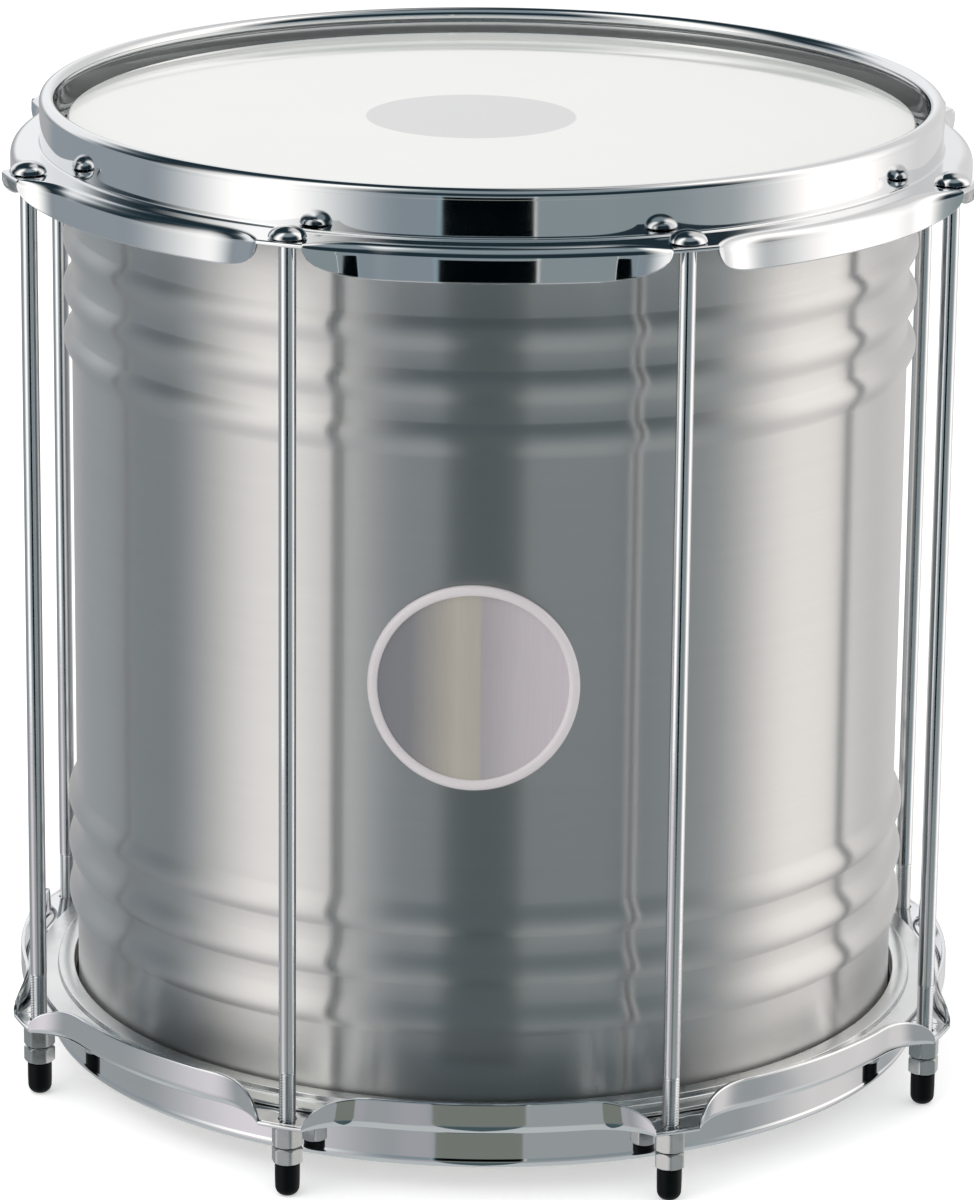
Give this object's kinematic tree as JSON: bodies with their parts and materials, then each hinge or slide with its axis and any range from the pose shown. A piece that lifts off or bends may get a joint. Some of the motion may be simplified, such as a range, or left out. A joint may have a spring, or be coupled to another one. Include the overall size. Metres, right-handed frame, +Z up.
{
  "type": "repinique",
  "caption": "Small samba drum: beaded aluminium shell, tuned film heads under flanged chrome hoops, full-length tension rods ending in rubber caps.",
  "frame": {"origin": "on the floor under the middle of the drum, level with the tips of the rods' rubber caps", "axes": "+Z up along the drum's axis to the batter head, -Y towards the badge, +X to the right seen from the badge"},
  "size_m": [0.3446, 0.3446, 0.3593],
  "materials": {
    "shell": "rolled sheet, brushed round its girth",
    "hoop": "pressed steel, bright chrome plate",
    "head_film": "smooth milky polyester film",
    "flesh_hoop": "extruded channel, satin",
    "rod": "turned steel, chrome plate",
    "nut": "zinc plate, satin",
    "cap": "moulded, dull",
    "badge": "stamped plate, brushed, raised rim"
  },
  "bodies": {
    "drum": {"shell": "shell", "top_hoop": "hoop", "bottom_hoop": "hoop", "batter_head": "head_film", "resonant_head": "head_film", "batter_flesh_hoop": "flesh_hoop", "resonant_flesh_hoop": "flesh_hoop", "badge": "badge", "tension_rod_1": "rod", "end_cap_1": "cap", "tension_rod_2": "rod", "end_cap_2": "cap", "tension_rod_3": "rod", "end_cap_3": "cap", "tension_rod_4": "rod", "end_cap_4": "cap", "tension_rod_5": "rod", "end_cap_5": "cap", "tension_rod_6": "rod", "end_cap_6": "cap", "tension_rod_7": "rod", "end_cap_7": "cap", "tension_rod_8": "rod", "end_cap_8": "cap"},
    "tension_nut_1": {"tension_nut_1": "nut"},
    "lock_nut_1": {"lock_nut_1": "nut"},
    "tension_nut_2": {"tension_nut_2": "nut"},
    "lock_nut_2": {"lock_nut_2": "nut"},
    "tension_nut_3": {"tension_nut_3": "nut"},
    "lock_nut_3": {"lock_nut_3": "nut"},
    "tension_nut_4": {"tension_nut_4": "nut"},
    "lock_nut_4": {"lock_nut_4": "nut"},
    "tension_nut_5": {"tension_nut_5": "nut"},
    "lock_nut_5": {"lock_nut_5": "nut"},
    "tension_nut_6": {"tension_nut_6": "nut"},
    "lock_nut_6": {"lock_nut_6": "nut"},
    "tension_nut_7": {"tension_nut_7": "nut"},
    "lock_nut_7": {"lock_nut_7": "nut"},
    "tension_nut_8": {"tension_nut_8": "nut"},
    "lock_nut_8": {"lock_nut_8": "nut"}
  },
  "joints": [
    {"name": "tension_nut_1_turn", "type": "hinge", "parent": "drum", "child": "tension_nut_1", "pos_m": [0.06659, -0.16076, 0.0185], "axis": [0, 0, 1], "range_deg": [-360, 360]},
    {"name": "lock_nut_1_turn", "type": "hinge", "parent": "drum", "child": "lock_nut_1", "pos_m": [0.06659, -0.16076, 0.0123], "axis": [0, 0, 1], "range_deg": [-360, 360]},
    {"name": "tension_nut_2_turn", "type": "hinge", "parent": "drum", "child": "tension_nut_2", "pos_m": [0.16076, -0.06659, 0.0185], "axis": [0, 0, 1], "range_deg": [-360, 360]},
    {"name": "lock_nut_2_turn", "type": "hinge", "parent": "drum", "child": "lock_nut_2", "pos_m": [0.16076, -0.06659, 0.0123], "axis": [0, 0, 1], "range_deg": [-360, 360]},
    {"name": "tension_nut_3_turn", "type": "hinge", "parent": "drum", "child": "tension_nut_3", "pos_m": [0.16076, 0.06659, 0.0185], "axis": [0, 0, 1], "range_deg": [-360, 360]},
    {"name": "lock_nut_3_turn", "type": "hinge", "parent": "drum", "child": "lock_nut_3", "pos_m": [0.16076, 0.06659, 0.0123], "axis": [0, 0, 1], "range_deg": [-360, 360]},
    {"name": "tension_nut_4_turn", "type": "hinge", "parent": "drum", "child": "tension_nut_4", "pos_m": [0.06659, 0.16076, 0.0185], "axis": [0, 0, 1], "range_deg": [-360, 360]},
    {"name": "lock_nut_4_turn", "type": "hinge", "parent": "drum", "child": "lock_nut_4", "pos_m": [0.06659, 0.16076, 0.0123], "axis": [0, 0, 1], "range_deg": [-360, 360]},
    {"name": "tension_nut_5_turn", "type": "hinge", "parent": "drum", "child": "tension_nut_5", "pos_m": [-0.06659, 0.16076, 0.0185], "axis": [0, 0, 1], "range_deg": [-360, 360]},
    {"name": "lock_nut_5_turn", "type": "hinge", "parent": "drum", "child": "lock_nut_5", "pos_m": [-0.06659, 0.16076, 0.0123], "axis": [0, 0, 1], "range_deg": [-360, 360]},
    {"name": "tension_nut_6_turn", "type": "hinge", "parent": "drum", "child": "tension_nut_6", "pos_m": [-0.16076, 0.06659, 0.0185], "axis": [0, 0, 1], "range_deg": [-360, 360]},
    {"name": "lock_nut_6_turn", "type": "hinge", "parent": "drum", "child": "lock_nut_6", "pos_m": [-0.16076, 0.06659, 0.0123], "axis": [0, 0, 1], "range_deg": [-360, 360]},
    {"name": "tension_nut_7_turn", "type": "hinge", "parent": "drum", "child": "tension_nut_7", "pos_m": [-0.16076, -0.06659, 0.0185], "axis": [0, 0, 1], "range_deg": [-360, 360]},
    {"name": "lock_nut_7_turn", "type": "hinge", "parent": "drum", "child": "lock_nut_7", "pos_m": [-0.16076, -0.06659, 0.0123], "axis": [0, 0, 1], "range_deg": [-360, 360]},
    {"name": "tension_nut_8_turn", "type": "hinge", "parent": "drum", "child": "tension_nut_8", "pos_m": [-0.06659, -0.16076, 0.0185], "axis": [0, 0, 1], "range_deg": [-360, 360]},
    {"name": "lock_nut_8_turn", "type": "hinge", "parent": "drum", "child": "lock_nut_8", "pos_m": [-0.06659, -0.16076, 0.0123], "axis": [0, 0, 1], "range_deg": [-360, 360]}
  ]
}
